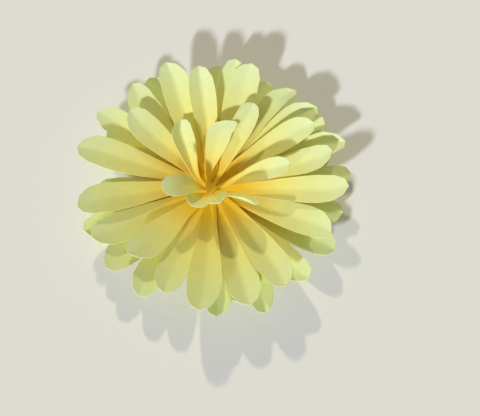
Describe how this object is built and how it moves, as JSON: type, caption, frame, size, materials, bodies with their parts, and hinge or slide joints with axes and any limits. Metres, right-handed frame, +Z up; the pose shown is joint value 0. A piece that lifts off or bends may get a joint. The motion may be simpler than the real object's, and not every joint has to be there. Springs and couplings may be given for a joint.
{
  "type": "paper flower",
  "caption": "Handmade paper flower: stacked cut-paper rosettes of creased, upturned petals around a small upright inner rosette that forms a hollow centre.",
  "frame": {"origin": "centre of the lowest sheet's flat middle, on its underside, which rests on the table", "axes": "+Z up out of the open flower; the viewer of the picture sits on the -Y side, with +X to the right"},
  "size_m": [0.1146, 0.116, 0.0235],
  "materials": {
    "petal_paper": "matte, slightly translucent pale yellow paper with white fibre at the cut edges"
  },
  "bodies": {
    "root": {"rosette_1": "petal_paper", "rosette_2": "petal_paper", "rosette_3": "petal_paper", "rosette_4": "petal_paper", "rosette_5": "petal_paper", "rosette_6": "petal_paper"}
  },
  "joints": []
}
